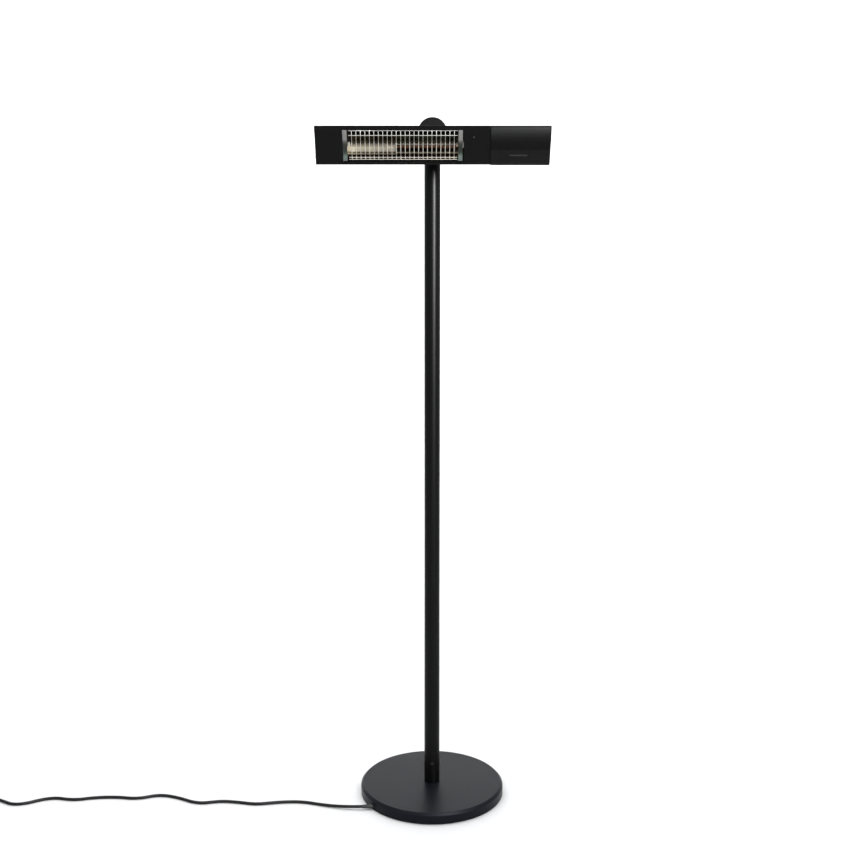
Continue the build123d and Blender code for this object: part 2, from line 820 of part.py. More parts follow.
with BuildPart() as lamp_caps:
    for start_x, depth_x in ((-cap_end, cap_end - cap_mouth), (cap_mouth, cap_end - cap_mouth)):
        with BuildSketch(across(lamp_x + start_x)):
            with Locations((lamp_depth, lamp_up)):
                Circle(lamp_radius + 1.2)
        extrude(amount=depth_x)
    with BuildSketch(across(lamp_x - cap_floor)):
        with Locations((lamp_depth, lamp_up)):
            Circle(lamp_radius + 0.1)
    extrude(amount=2 * cap_floor, mode=Mode.SUBTRACT)
finish(lamp_caps, "lamp_caps")

holder_length = 14.0
shield_left = lamp_x - cap_end - 4.0
shield_right = lamp_x + cap_end + 4.0
with BuildPart() as lamp_holders:
    for start_x in (shield_left, shield_right - holder_length):
        with BuildSketch(across(start_x)):
            with Locations((lamp_depth, lamp_up)):
                RectangleRounded(18, 18, 2)
        extrude(amount=holder_length)
    with BuildSketch(across(lamp_x - cap_end)):
        with Locations((lamp_depth, lamp_up)):
            Circle(lamp_radius + 1.3)
    extrude(amount=2 * cap_end, mode=Mode.SUBTRACT)
finish(lamp_holders, "lamp_holders")

# Plates that close the lamp compartment at both ends
wire_depth_run = 60.0
with BuildPart() as heat_shields:
    for start_x in (shield_left - 1.0, shield_right):
        with BuildSketch(across(start_x)) as shield_section:
            housing_outline(panel + skin + 0.4, skin + 0.4)
            fillet(shield_section.vertices().sort_by(Axis.X)[-2:], back_radius - skin)
            with Locations((wire_depth_run, 0)):
                Circle(5.0, mode=Mode.SUBTRACT)
        extrude(amount=1.0)
finish(heat_shields, "heat_shields")

# Wire guard: upright wires with their ends bent to the rear, welded to long bars
with BuildPart() as wire_guard:
    wire_xs = [guard_x + (n - (wire_count - 1) / 2) * wire_pitch for n in range(wire_count)]
    for wire_x in wire_xs:
        with BuildLine(across(wire_x)) as wire_path:
            FilletPolyline(
                (wire_end, guard_top), (wire_depth, guard_top), (wire_depth, guard_bottom),
                (wire_end, guard_bottom), radius=3.5,
            )
        with BuildSketch(Plane(wire_path.line @ 0, z_dir=wire_path.line % 0)):
            Circle(wire_radius)
        sweep()
    with BuildSketch(across(guard_x - bar_half_length)):
        with Locations(
            (wire_end - 1.7, guard_top - 1.3), (wire_end - 1.7, guard_bottom + 1.3),
            (wire_depth + 1.7, 26.65), (wire_depth + 1.7, -35.8),
        ):
            Circle(wire_radius)
    extrude(amount=2 * bar_half_length)
finish(wire_guard, "wire_guard")

# ------------------------------------------------------------------ electrics

post_depth = head_depth - skin
with BuildPart() as control_board:
    with BuildSketch(face_plane.offset(-board_depth - board_thickness)):
        with Locations((board_x, 0)):
            Rectangle(120, 60)
            with GridLocations(*board_hole_pitch, 2, 2):
                Circle(1.6, mode=Mode.SUBTRACT)
    extrude(amount=board_thickness)
    with BuildSketch(face_plane.offset(-board_depth)):
        with Locations((215, 8)):
            Rectangle(28, 16)
        with Locations((262, -10)):
            Rectangle(18, 18)
    extrude(amount=12.0)
finish(control_board, "control_board")

with BuildPart() as board_posts:
    with BuildSketch(face_plane.offset(-post_depth)):
        with Locations((board_x, 0)):
            with GridLocations(*board_hole_pitch, 2, 2):
                Circle(3.2)
    extrude(amount=post_depth - board_depth - board_thickness)
    with BuildSketch(face_plane.offset(-board_depth - board_thickness)):
        with Locations((board_x, 0)):
            with GridLocations(*board_hole_pitch, 2, 2):
                Circle(1.5)
    extrude(amount=board_thickness + 1.0)
finish(board_posts, "board_posts")

with BuildPart() as terminal_block:
    with BuildSketch(face_plane.offset(-post_depth)):
        with Locations((terminal_x, terminal_up)):
            Rectangle(36, 18)
    extrude(amount=terminal_height)
    with BuildSketch(face_plane.offset(terminal_height - post_depth)):
        with Locations((terminal_x, terminal_up)):
            with GridLocations(11, 10, 3, 2):
                Circle(2.0)
    extrude(amount=-3.0, mode=Mode.SUBTRACT)
finish(terminal_block, "terminal_block")

lamp_feeds = [
    [
        in_head(111.4, 5, 66), in_head(100, 2.5, 60.5), in_head(88, 0, 57),
        in_head(84, -3, 45), in_head(85, -3.4, 31.6),
    ],
    [
        in_head(111.2, 2, 71), in_head(98, -2, 61.5), in_head(70, -2.5, 60),
        in_head(-225, -2, 61), in_head(-250, -3, 52), in_head(-253, -3.4, 31.6),
    ],
]
with BuildPart() as lamp_wires:
    for feed in lamp_feeds:
        lay_tube(feed, bend_radii(feed), 1.3)
finish(lamp_wires, "lamp_wires")

# Rocker switch in the right end cap
switch_inner = 316.0
pocket_inner = 324.0
rocker_x = 331.5
rocker_swing = 10.0
with BuildPart() as switch_body:
    with BuildSketch(across(switch_inner)):
        with Locations((switch_depth, switch_up)):
            Rectangle(16.0, 23.4)
    extrude(amount=head_length / 2 - switch_inner)
    with BuildSketch(across(head_length / 2)):
        with Locations((switch_depth, switch_up)):
            RectangleRounded(19, 27, 1.5)
    extrude(amount=1.5)
    with BuildSketch(across(pocket_inner)):
        with Locations((switch_depth, switch_up)):
            Rectangle(12.6, 20.8)
    extrude(amount=20, mode=Mode.SUBTRACT)
    trunnion_plane = Plane(
        origin=in_head(rocker_x, switch_up, switch_depth + 7.5), x_dir=(1, 0, 0), z_dir=front
    )
    with BuildSketch(trunnion_plane):
        Circle(1.55)
    extrude(amount=15, mode=Mode.SUBTRACT)
finish(switch_body, "switch_body")

rocker_plane = Plane(
    origin=in_head(rocker_x, switch_up, switch_depth + 5.7), x_dir=(1, 0, 0), z_dir=front
)
pressed_plane = Plane(
    origin=rocker_plane.origin, z_dir=front,
    x_dir=Vector(cos(radians(rocker_swing)), 0, 0) - up * sin(radians(rocker_swing)),
)
with BuildPart() as rocker:
    with BuildSketch(pressed_plane):
        with BuildLine():
            Polyline(
                (7, 9), (5.6, 0), (7, -9), (4, -9), (-3, -4), (-3, 4), (4, 9), close=True,
            )
        make_face()
    extrude(amount=11.4)
    with BuildSketch(rocker_plane.offset(-1.6)):
        Circle(1.5)
    extrude(amount=14.6)
finish(rocker, "rocker")

# ------------------------------------------------------------------ mains lead

# Held stretch: from the skirt through base and pole to the grommet
bore_side = outlet_dir * -12.5
corner_low = Vector(0, 0, lead_height)
swing_start = Vector(0, 0, grommet_z - 160)
side_wall = bore_side + Vector(0, 0, grommet_z - 90)
corner_high = bore_side + Vector(0, 0, grommet_z)
pole_exit = outlet_dir * 31 + Vector(0, 0, grommet_z)
inner_route = [rim_exit, bend_point, corner_low, swing_start, side_wall, corner_high, pole_exit]
inner_radii = bend_radii(inner_route)
inner_radii[1] = inner_bend
inner_radii[-1] = 32.0
with BuildPart() as inner_lead:
    lay_tube(inner_route, inner_radii, lead_radius)
finish(inner_lead, "inner_lead")
report_tube("inner_lead", inner_lead, inner_route, inner_radii, lead_radius)

# Short loop from the pole to the gland on the head, which bends as the head tilts
gland_end = in_head(gland_x, gland_up, head_depth + gland_tip)
loop_route = [
    pole_exit, pole_exit + outlet_dir * 22, Vector(58, 45, 2004), Vector(80, 42, 2012),
    Vector(98, 29, 2022), Vector(107.5, 8, 2031),
    in_head(gland_x, gland_up, head_depth + gland_tip + 46), gland_end,
]
loop_radii = bend_radii(loop_route)
with BuildPart() as head_lead:
    lay_tube(loop_route, loop_radii, lead_radius)
finish(head_lead, "head_lead")
report_tube("head_lead", head_lead, loop_route, loop_radii, lead_radius)

# Free stretch on the floor, out to the coil
coil_x = -1443.0
coil_y = -92.0
coil_inner = 49.0
coil_outer = 58.0
coil_rise = 1.0
entry_turn = 62.0
leave_turn = 180.0
coil_z = floor_z + coil_rise
top_z = coil_z + 7.8
top_radius = (coil_inner + coil_outer) / 2
coil_centre = Vector(coil_x, coil_y, 0)
entry_dir = Vector(cos(radians(entry_turn)), sin(radians(entry_turn)), 0)
coil_entry = coil_centre + entry_dir * coil_outer + Vector(0, 0, coil_z)
floor_route = [
    rim_exit, rim_exit + exit_dir * 56, Vector(-325, -113, floor_z), Vector(-404, -86, floor_z),
    Vector(-478, -90, floor_z), Vector(-545, -105, floor_z), Vector(-605, -90, floor_z),
    Vector(-660, -83, floor_z), Vector(-726, -101, floor_z), Vector(-795, -60, floor_z),
    Vector(-860, -40, floor_z), Vector(-921, -69, floor_z), Vector(-990, -56, floor_z),
    Vector(-1060, -60, floor_z), Vector(-1120, -78, floor_z), Vector(-1195, -56, floor_z),
    Vector(-1282, -115, floor_z), Vector(-1350, -76, floor_z), coil_entry,
]
floor_radii = bend_radii(floor_route)
with BuildPart() as mains_cord:
    lay_tube(floor_route, floor_radii, lead_radius)
finish(mains_cord, "mains_cord")
report_tube("mains_cord", mains_cord, floor_route, floor_radii, lead_radius)

# Stored coil: two turns side by side, and part of a third on top
with BuildPart() as cord_coil:
    with BuildSketch(Plane(origin=coil_centre, x_dir=(1, 0, 0), z_dir=(0, -1, 0))):
        with Locations((top_radius, coil_z)):
            RectangleRounded(
                coil_outer - coil_inner + 2 * lead_radius, 2 * lead_radius, lead_radius - 0.1
            )
    revolve(axis=Axis(coil_centre, (0, 0, 1)))
    with BuildSketch(Plane(origin=coil_centre, x_dir=entry_dir, z_dir=entry_dir.cross(Vector(0, 0, 1)))):
        with Locations((top_radius, top_z)):
            Circle(lead_radius)
    revolve(axis=Axis(coil_centre, (0, 0, 1)), revolution_arc=leave_turn - entry_turn)
finish(cord_coil, "cord_coil")

# Last stretch from the coil's top to the plug
leave_point = Vector(coil_x - top_radius, coil_y, top_z)
plug_x = coil_x - 48
plug_radius = 18.5
plug_lead_y = coil_y - 112
end_route = [
    leave_point, leave_point + Vector(0, -38, 0), Vector(plug_x, coil_y - 76, plug_radius),
    Vector(plug_x, plug_lead_y, plug_radius),
]
end_radii = bend_radii(end_route)
with BuildPart() as cord_end:
    lay_tube(end_route, end_radii, lead_radius)
finish(cord_end, "cord_end")
report_tube("cord_end", cord_end, end_route, end_radii, lead_radius)

# Strap round the coil
with BuildPart() as coil_tie:
    with BuildSketch(Plane.YZ.offset(coil_x - 7)):
        with Locations((coil_y - top_radius, coil_z)):
            RectangleRounded(21.2, 11.0, 3.0)
            RectangleRounded(19.2, 9.2, 2.4, mode=Mode.SUBTRACT)
    extrude(amount=14)
finish(coil_tie, "coil_tie")

# Round two-pin plug, its cable sleeve towards +Y
plug_back = end_route[-1]
sleeve_length = 30.0
grip_length = 44.0
pin_length = 19.0
plug_axis = Axis(plug_back, (0, -1, 0))
plug_section = Plane(origin=plug_back, x_dir=(0, -1, 0), z_dir=(-1, 0, 0))
with BuildPart() as plug_body:
    with BuildSketch(plug_section):
        with BuildLine():
            Polyline((0, 0), (0, 5.2), (sleeve_length, 7.5), (sleeve_length, 12.0))
            Spline(
                (sleeve_length, 12.0), (sleeve_length + 16, 13.0), (sleeve_length + 32, 18.5),
                tangents=[(1, 0), (1, 0.2)],
            )
            Polyline(
                (sleeve_length + 32, 18.5), (sleeve_length + grip_length, 18.5),
                (sleeve_length + grip_length, 0), (0, 0),
            )
        make_face()
    revolve(axis=plug_axis)
finish(plug_body, "plug_body")

with BuildPart() as plug_pins:
    pin_plane = Plane(
        origin=plug_back + Vector(0, -(sleeve_length + grip_length), 0), x_dir=(1, 0, 0),
        z_dir=(0, -1, 0),
    )
    with BuildSketch(pin_plane):
        with GridLocations(19, 1, 2, 1):
            Circle(2.4)
    extrude(amount=pin_length)
    chamfer(plug_pins.edges().group_by(Axis.Y)[0], 0.8)
finish(plug_pins, "plug_pins")
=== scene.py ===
import math

import bpy
import numpy as np
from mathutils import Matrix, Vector


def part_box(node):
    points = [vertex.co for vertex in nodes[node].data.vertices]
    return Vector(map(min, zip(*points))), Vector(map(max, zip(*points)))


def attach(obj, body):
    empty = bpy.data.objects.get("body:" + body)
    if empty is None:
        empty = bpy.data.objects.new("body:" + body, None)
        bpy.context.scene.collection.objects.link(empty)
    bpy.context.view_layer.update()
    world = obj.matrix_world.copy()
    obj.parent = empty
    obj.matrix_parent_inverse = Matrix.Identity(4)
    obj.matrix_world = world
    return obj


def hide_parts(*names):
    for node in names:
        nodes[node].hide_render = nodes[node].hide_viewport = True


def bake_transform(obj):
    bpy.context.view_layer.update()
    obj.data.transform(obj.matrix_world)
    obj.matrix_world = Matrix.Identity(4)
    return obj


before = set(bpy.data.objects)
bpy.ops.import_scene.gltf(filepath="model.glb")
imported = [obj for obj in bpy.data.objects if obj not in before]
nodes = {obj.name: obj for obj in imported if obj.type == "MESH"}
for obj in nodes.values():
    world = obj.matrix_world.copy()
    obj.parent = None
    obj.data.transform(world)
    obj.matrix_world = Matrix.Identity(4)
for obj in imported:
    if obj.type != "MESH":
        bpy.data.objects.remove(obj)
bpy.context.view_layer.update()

scene = bpy.context.scene
scene.view_settings.view_transform = "Standard"

# Camera: its place, its angle below the level, and its lens on the sensor, in mm.
cameraSettings = {
    "place": (-0.022, -3.091, 1.498),
    "pitchDown": 6.0,
    "lens": 42.8,
    "sensor": 36.0,
}


# Level to the sides, looking along Y.
def makeCamera(settings):
    data = bpy.data.cameras.new("camera")
    data.lens = settings["lens"]
    data.sensor_width = settings["sensor"]
    camera = bpy.data.objects.new("camera", data)
    camera.location = settings["place"]
    camera.rotation_euler = (math.radians(90.0 - settings["pitchDown"]), 0.0, 0.0)
    scene.collection.objects.link(camera)
    scene.camera = camera


makeCamera(cameraSettings)
print("stage: camera")


# One smooth open NURBS line with the points as its control points, given a round section.
def nurbsCurve(name, points, radius, sides=6, steps=8):
    curve = bpy.data.curves.new(name, "CURVE")
    curve.dimensions = "3D"
    curve.resolution_u = steps
    curve.bevel_depth = 1.0 if radius else 0.0
    curve.bevel_resolution = sides
    curve.use_fill_caps = True
    spline = curve.splines.new("NURBS")
    spline.points.add(len(points) - 1)
    for point, place in zip(spline.points, points):
        point.co = (*place, 1.0)
        point.radius = radius  # the bevel is 1 m, so this is the tube's own radius
    spline.order_u = 3
    spline.use_endpoint_u = True
    piece = bpy.data.objects.new(name, curve)
    scene.collection.objects.link(piece)
    return piece


# Places along the NURBS line that these control points make, read from a curve with no bevel.
def lineOf(points, steps=8):
    bare = nurbsCurve("bareLine", points, 0.0, steps=steps)
    bpy.context.view_layer.update()
    mesh = bpy.data.meshes.new_from_object(bare.evaluated_get(bpy.context.evaluated_depsgraph_get()))
    line = np.array([vertex.co for vertex in mesh.vertices])
    bpy.data.objects.remove(bare, do_unlink=True)
    bpy.data.meshes.remove(mesh)
    return line


# A mesh from a grid of places, rows along u and columns along v, with quads between neighbours;
# closed rings join the last column to the first, and caps fill the first and the last row.
def gridPiece(name, grid, closeRings=False, capEnds=False):
    rows, columns = grid.shape[:2]
    index = np.arange(rows * columns).reshape(rows, columns)
    here, after = index[:-1], index[1:]
    quads = np.stack([here, np.roll(here, -1, axis=1), np.roll(after, -1, axis=1), after], axis=-1)
    if not closeRings:
        quads = quads[:, :-1]
    faces = quads.reshape(-1, 4).tolist()
    if capEnds:
        faces += [index[0][::-1].tolist(), index[-1].tolist()]
    mesh = bpy.data.meshes.new(name)
    mesh.from_pydata(grid.reshape(-1, 3).tolist(), [], faces)
    mesh.update()
    mesh.polygons.foreach_set("use_smooth", np.ones(len(mesh.polygons), bool))
    piece = bpy.data.objects.new(name, mesh)
    scene.collection.objects.link(piece)
    return piece


# A ring of the given radius round each place of the line, square to it; each ring's first
# direction is the last ring's, made square to the new heading, so that the tube doesn't twist.
def tubeGrid(line, radius, sides=16):
    heading = np.gradient(line, axis=0)
    heading /= np.linalg.norm(heading, axis=1)[:, None]
    start = np.cross(heading[0], (0.0, 0.0, 1.0))
    if np.linalg.norm(start) < 0.1:
        start = np.cross(heading[0], (0.0, 1.0, 0.0))
    aside = np.empty_like(line)
    for n, along in enumerate(heading):
        start = start - along * (start @ along)
        start /= np.linalg.norm(start)
        aside[n] = start
    over = np.cross(heading, aside)
    turn = np.linspace(0.0, 2.0 * math.pi, sides, endpoint=False)
    radii = np.broadcast_to(radius, len(line))[:, None, None]
    ring = np.cos(turn)[None, :, None] * aside[:, None] + np.sin(turn)[None, :, None] * over[:, None]
    return line[:, None] + radii * ring


# The head's own directions, from its face's centre; the reach is that of the colour ramps on it.
headFrame = {
    "centre": (0.0, -0.152568, 1.987913),
    "up": (0.0, -0.422618, 0.906308),
    "rear": (0.0, 0.906308, 0.422618),
    "rampReach": 0.050,
}


# Place from its distances along the head: to the side, up the face, and behind it.
def inHead(x, height, depth):
    place = Vector(headFrame["centre"]) + Vector((x, 0.0, 0.0))
    return place + Vector(headFrame["up"]) * height + Vector(headFrame["rear"]) * depth


# Mains lead: its route on the floor, the coil that is put away, and the end at the plug. Turns are
# in degrees round the coil's centre.
leadSettings = {
    "diameter": 0.009,
    "length": 2.17,
    "floor": [
        (-0.18431, -0.12905, 0.0105), (-0.24010, -0.13393, 0.0105), (-0.325, -0.113, 0.0045),
        (-0.404, -0.086, 0.0045), (-0.478, -0.090, 0.0045), (-0.545, -0.105, 0.0045),
        (-0.605, -0.090, 0.0045), (-0.660, -0.083, 0.0045), (-0.726, -0.101, 0.0045),
        (-0.795, -0.060, 0.0045), (-0.860, -0.040, 0.0045), (-0.921, -0.069, 0.0045),
        (-0.990, -0.056, 0.0045), (-1.060, -0.060, 0.0045), (-1.120, -0.078, 0.0045),
        (-1.195, -0.056, 0.0045), (-1.282, -0.115, 0.0045), (-1.350, -0.076, 0.0045),
    ],
    "coilCentre": (-1.443, -0.092),
    "outerLane": 0.058,
    "innerLane": 0.049,
    "coilHeight": 0.0055,
    "entryTurn": 62.0,
    "leaveTurn": 900.0,
    "turnStep": 20.95,
    "innerTurns": (345.0, 410.0),  # moves in from the outer lane
    "topFrom": 600.0,  # lies beside or on the outer lane's turn from here on
    "climbTurns": (650.0, 715.0),
    "climbAngle": 60.0,
    "topTurns": (700.0, 730.0),  # moves to the middle of the two lanes
    "crossUp": (690.0, 725.0),
    "crossDown": (765.0, 800.0),
    "crossRise": 0.0014,
    "end": [(-1.4965, -0.130, 0.0133), (-1.491, -0.168, 0.0185), (-1.491, -0.204, 0.0185)],
}


# 0 before low, 1 after high, and a smooth step between them.
def easeBetween(value, low, high):
    share = min(1.0, max(0.0, (value - low) / (high - low)))
    return share * share * (3.0 - 2.0 * share)


# Turns of the stored coil: one in the outer lane, one in the inner lane, then up onto both.
# Each control point stands out by the little that the smooth line cuts inside it.
def coilPoints(lead):
    count = round((lead["leaveTurn"] - lead["entryTurn"]) / lead["turnStep"])
    step = (lead["leaveTurn"] - lead["entryTurn"]) / count
    standOut = 4.0 / (3.0 + math.cos(math.radians(step)))
    topLane = (lead["outerLane"] + lead["innerLane"]) / 2.0
    points = []
    for n in range(count + 1):
        turn = lead["entryTurn"] + n * step
        inward = easeBetween(turn, *lead["innerTurns"])
        climb = math.radians(lead["climbAngle"]) * easeBetween(turn, *lead["climbTurns"])
        lane = lead["outerLane"] + (lead["innerLane"] - lead["outerLane"]) * inward
        rise = 0.0
        if turn > lead["topFrom"]:
            lane = lead["outerLane"] - lead["diameter"] * math.cos(climb)
            rise = lead["diameter"] * math.sin(climb)
            crossing = easeBetween(turn, *lead["crossUp"]) - easeBetween(turn, *lead["crossDown"])
            rise += lead["crossRise"] * crossing
            lane += (topLane - lane) * easeBetween(turn, *lead["topTurns"])
        reach = lane * (1.0 if n in (0, count) else standOut)
        angle = math.radians(turn)
        centre = lead["coilCentre"]
        points.append((
            centre[0] + reach * math.cos(angle), centre[1] + reach * math.sin(angle),
            lead["coilHeight"] + rise,
        ))
    return points


leadPoints = leadSettings["floor"] + coilPoints(leadSettings) + leadSettings["end"]
mainsLead = nurbsCurve("mainsLead", leadPoints, leadSettings["diameter"] / 2.0)
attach(mainsLead, "stand")
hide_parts("mains_cord", "cord_coil", "cord_end")
print("stage: mains lead, points", len(leadPoints))

# The lead's loop between pole and head. The gland is given to the side and up from the face's
# centre, and its mouth and the straight stretch before it by depth.
loopSettings = {
    "diameter": 0.009,
    "route": [
        (0.02192, 0.02192, 2.0), (0.03748, 0.03748, 2.0), (0.058, 0.045, 2.004),
        (0.080, 0.042, 2.012), (0.098, 0.029, 2.022), (0.1075, 0.008, 2.031),
    ],
    "gland": (0.107, -0.016),
    "mouthDepth": 0.098,
    "straight": 0.046,
}


# A round tube on the loop's smooth line, from the pole's grommet to the gland's mouth.
def makeHeadLoop(loop):
    mouth = tuple(inHead(*loop["gland"], loop["mouthDepth"]))
    before = tuple(inHead(*loop["gland"], loop["mouthDepth"] + loop["straight"]))
    route = loop["route"] + [before, mouth]
    grid = tubeGrid(lineOf(route, steps=10), loop["diameter"] / 2.0, sides=20)
    piece = gridPiece("headLoop", grid, closeRings=True, capEnds=True)
    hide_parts("head_lead")
    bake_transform(piece)
    return piece


headLoop = makeHeadLoop(loopSettings)
print("stage: head loop")

# The lamp's filament, which fills nearly all of the coil's length.
filamentSettings = {
    "turnRadius": 0.0016,
    "wireRadius": 0.00030,
    "pitch": 0.0016,
    "stepsPerTurn": 12,
    "coiledShare": 0.975,
}


# A helix along X inside the quartz tube: centre plus radius times cosine and sine of the turn,
# moved on by the pitch for each turn, with a thin round wire carried along it.
def makeFilament(settings):
    low, high = (np.array(corner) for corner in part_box("heating_coil"))
    centre = (low + high) / 2.0
    length = (high[0] - low[0]) * settings["coiledShare"]
    turns = length / settings["pitch"]
    t = np.linspace(0.0, 1.0, int(turns * settings["stepsPerTurn"]))
    angle = t * turns * 2.0 * math.pi
    line = np.stack([
        centre[0] + (t - 0.5) * length,
        centre[1] + settings["turnRadius"] * np.cos(angle),
        centre[2] + settings["turnRadius"] * np.sin(angle),
    ], axis=-1)
    wire = tubeGrid(line, settings["wireRadius"], sides=6)
    piece = gridPiece("filament", wire, closeRings=True, capEnds=True)
    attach(piece, "head")
    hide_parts("heating_coil")
    return piece


filament = makeFilament(filamentSettings)
print("stage: filament")


# A shader group with its named inputs and outputs.
def makeGroup(name, inputs, outputs):
    group = bpy.data.node_groups.new(name, "ShaderNodeTree")
    for label, kind, value in inputs:
        socket = group.interface.new_socket(name=label, in_out="INPUT", socket_type=kind)
        if value is not None:
            socket.default_value = value
    for label, kind in outputs:
        group.interface.new_socket(name=label, in_out="OUTPUT", socket_type=kind)
    return group, group.nodes.new("NodeGroupInput"), group.nodes.new("NodeGroupOutput")


# Each value goes to its input: linked where it is a socket itself, else set as a constant.
def fillInputs(tree, node, values):
    for key, value in values.items():
        if isinstance(value, bpy.types.NodeSocket):
            tree.links.new(value, node.inputs[key])
        else:
            node.inputs[key].default_value = value


# A node with its own settings and values.
def addNode(tree, kind, values, **settings):
    node = tree.nodes.new(kind)
    for key, value in settings.items():
        setattr(node, key, value)
    fillInputs(tree, node, values)
    return node


# low + (high - low) * factor; the factor may be a socket.
def mixValues(tree, factor, low, high):
    node = addNode(tree, "ShaderNodeMapRange", {"Value": factor, "To Min": low, "To Max": high})
    return node.outputs["Result"]


# The result of one sum or product, each value a socket or a constant.
def mathOf(tree, operation, first, second=0.0):
    return addNode(tree, "ShaderNodeMath", {0: first, 1: second}, operation=operation).outputs[0]


# The low colour at factor 0 and the high colour at factor 1.
def colourMix(tree, factor, low, high):
    node = tree.nodes.new("ShaderNodeMix")
    node.data_type = "RGBA"
    fillInputs(tree, node, {0: factor, 6: low, 7: high})  # 6, 7 and output 2 are the colour ones
    return node.outputs[2]


# Powder coat: a fine orange peel for the height, and a broad slow drift for tone and gloss. The
# height is cells plus a share of fine noise, and the gloss is part fine noise, part drift.
def makeCoatGrain():
    peelShare = 0.6
    fineGloss = 0.35
    tree, given, made = makeGroup("coatGrain", [
        ("Vector", "NodeSocketVector", None), ("Fineness", "NodeSocketFloat", 900.0),
        ("Drift", "NodeSocketFloat", 6.0),
    ], [("Height", "NodeSocketFloat"), ("Tone", "NodeSocketFloat"), ("Gloss", "NodeSocketFloat")])
    fine = addNode(tree, "ShaderNodeTexNoise", {
        "Vector": given.outputs["Vector"], "Scale": given.outputs["Fineness"], "Detail": 3.0,
        "Roughness": 0.6,
    })
    cells = addNode(tree, "ShaderNodeTexVoronoi", {
        "Vector": given.outputs["Vector"], "Scale": given.outputs["Fineness"], "Randomness": 1.0,
    }, feature="SMOOTH_F1")
    broad = addNode(tree, "ShaderNodeTexNoise", {
        "Vector": given.outputs["Vector"], "Scale": given.outputs["Drift"], "Detail": 4.0,
        "Roughness": 0.55,
    })
    height = mathOf(tree, "MULTIPLY_ADD", fine.outputs[0], peelShare)
    tree.links.new(cells.outputs["Distance"], height.node.inputs[2])
    tree.links.new(height, made.inputs["Height"])
    tree.links.new(broad.outputs[0], made.inputs["Tone"])
    gloss = mathOf(tree, "MULTIPLY_ADD", fine.outputs[0], fineGloss)
    slow = mathOf(tree, "MULTIPLY", broad.outputs[0], 1.0 - fineGloss)
    tree.links.new(slow, gloss.node.inputs[2])
    tree.links.new(gloss, made.inputs["Gloss"])
    return tree


# Fine marks of rolled or drawn metal: noise on coordinates that are squeezed across the grain.
def makeBrushMarks():
    tree, given, made = makeGroup("brushMarks", [
        ("Vector", "NodeSocketVector", None), ("Squeeze", "NodeSocketVector", (6.0, 900.0, 900.0)),
    ], [("Height", "NodeSocketFloat"), ("Tone", "NodeSocketFloat")])
    squeezed = addNode(tree, "ShaderNodeVectorMath", {
        0: given.outputs["Vector"], 1: given.outputs["Squeeze"],
    }, operation="MULTIPLY")
    fine = addNode(tree, "ShaderNodeTexNoise", {
        "Vector": squeezed.outputs[0], "Scale": 1.0, "Detail": 4.0, "Roughness": 0.6,
    })
    broad = addNode(tree, "ShaderNodeTexNoise", {
        "Vector": squeezed.outputs[0], "Scale": 0.11, "Detail": 2.0,
    })
    tree.links.new(fine.outputs[0], made.inputs["Height"])
    tree.links.new(broad.outputs[0], made.inputs["Tone"])
    return tree


# Where dust settles: faces whose normal points up, broken by cloudy noise.
def makeDustFall():
    tree, given, made = makeGroup("dustFall", [
        ("Vector", "NodeSocketVector", None), ("Normal", "NodeSocketVector", None),
        ("Amount", "NodeSocketFloat", 0.2),
    ], [("Mask", "NodeSocketFloat")])
    parts = addNode(tree, "ShaderNodeSeparateXYZ", {0: given.outputs["Normal"]})
    facing = addNode(tree, "ShaderNodeMapRange", {
        "Value": parts.outputs["Z"], "From Min": 0.3, "From Max": 1.0,
    }, interpolation_type="SMOOTHSTEP")
    cloud = addNode(tree, "ShaderNodeTexNoise", {
        "Vector": given.outputs["Vector"], "Scale": 22.0, "Detail": 6.0, "Roughness": 0.7,
    })
    patch = addNode(tree, "ShaderNodeMapRange", {
        "Value": cloud.outputs[0], "From Min": 0.35, "From Max": 0.75,
    })
    mask = mathOf(tree, "MULTIPLY", facing.outputs[0], patch.outputs[0])
    tree.links.new(mathOf(tree, "MULTIPLY", mask, given.outputs["Amount"]), made.inputs["Mask"])
    return tree


coatGrain = makeCoatGrain()
brushMarks = makeBrushMarks()
dustFall = makeDustFall()
print("stage: shader groups")


# A new material with its shader and its object coordinates.
def startMaterial(name):
    material = bpy.data.materials.new(name)
    material.use_nodes = True
    tree = material.node_tree
    shader = tree.nodes["Principled BSDF"]
    place = tree.nodes.new("ShaderNodeTexCoord")
    return material, tree, shader, place


# Plain values on the shader's own sockets.
def setShader(shader, settings):
    for key, value in settings.items():
        shader.inputs[key].default_value = value


# A shader group placed in a material with its own values.
def useGroup(tree, group, values):
    node = tree.nodes.new("ShaderNodeGroup")
    node.node_tree = group
    fillInputs(tree, node, values)
    return node


# Fine relief from a height, which turns the shader's normal.
def addBump(tree, shader, height, look):
    bump = addNode(tree, "ShaderNodeBump", {
        "Height": height, "Strength": look["bump"], "Distance": look["depth"],
    })
    tree.links.new(bump.outputs["Normal"], shader.inputs["Normal"])


dustColour = (0.30, 0.29, 0.27)


# Painted or moulded surface: two near tones, two roughnesses, grain in the height, light dust.
def coatedMaterial(name, look):
    material, tree, shader, place = startMaterial(name)
    grain = useGroup(tree, coatGrain, {
        "Vector": place.outputs["Object"], "Fineness": look["fineness"], "Drift": look["drift"],
    })
    dust = useGroup(tree, dustFall, {
        "Vector": place.outputs["Object"], "Normal": place.outputs["Normal"], "Amount": look["dust"],
    })
    paint = colourMix(tree, grain.outputs["Tone"], (*look["dark"], 1.0), (*look["light"], 1.0))
    dusty = colourMix(tree, dust.outputs["Mask"], paint, (*dustColour, 1.0))
    tree.links.new(dusty, shader.inputs["Base Color"])
    rough = mixValues(tree, grain.outputs["Gloss"], *look["rough"])
    tree.links.new(rough, shader.inputs["Roughness"])
    addBump(tree, shader, grain.outputs["Height"], look)
    setShader(shader, look["shader"])
    return material


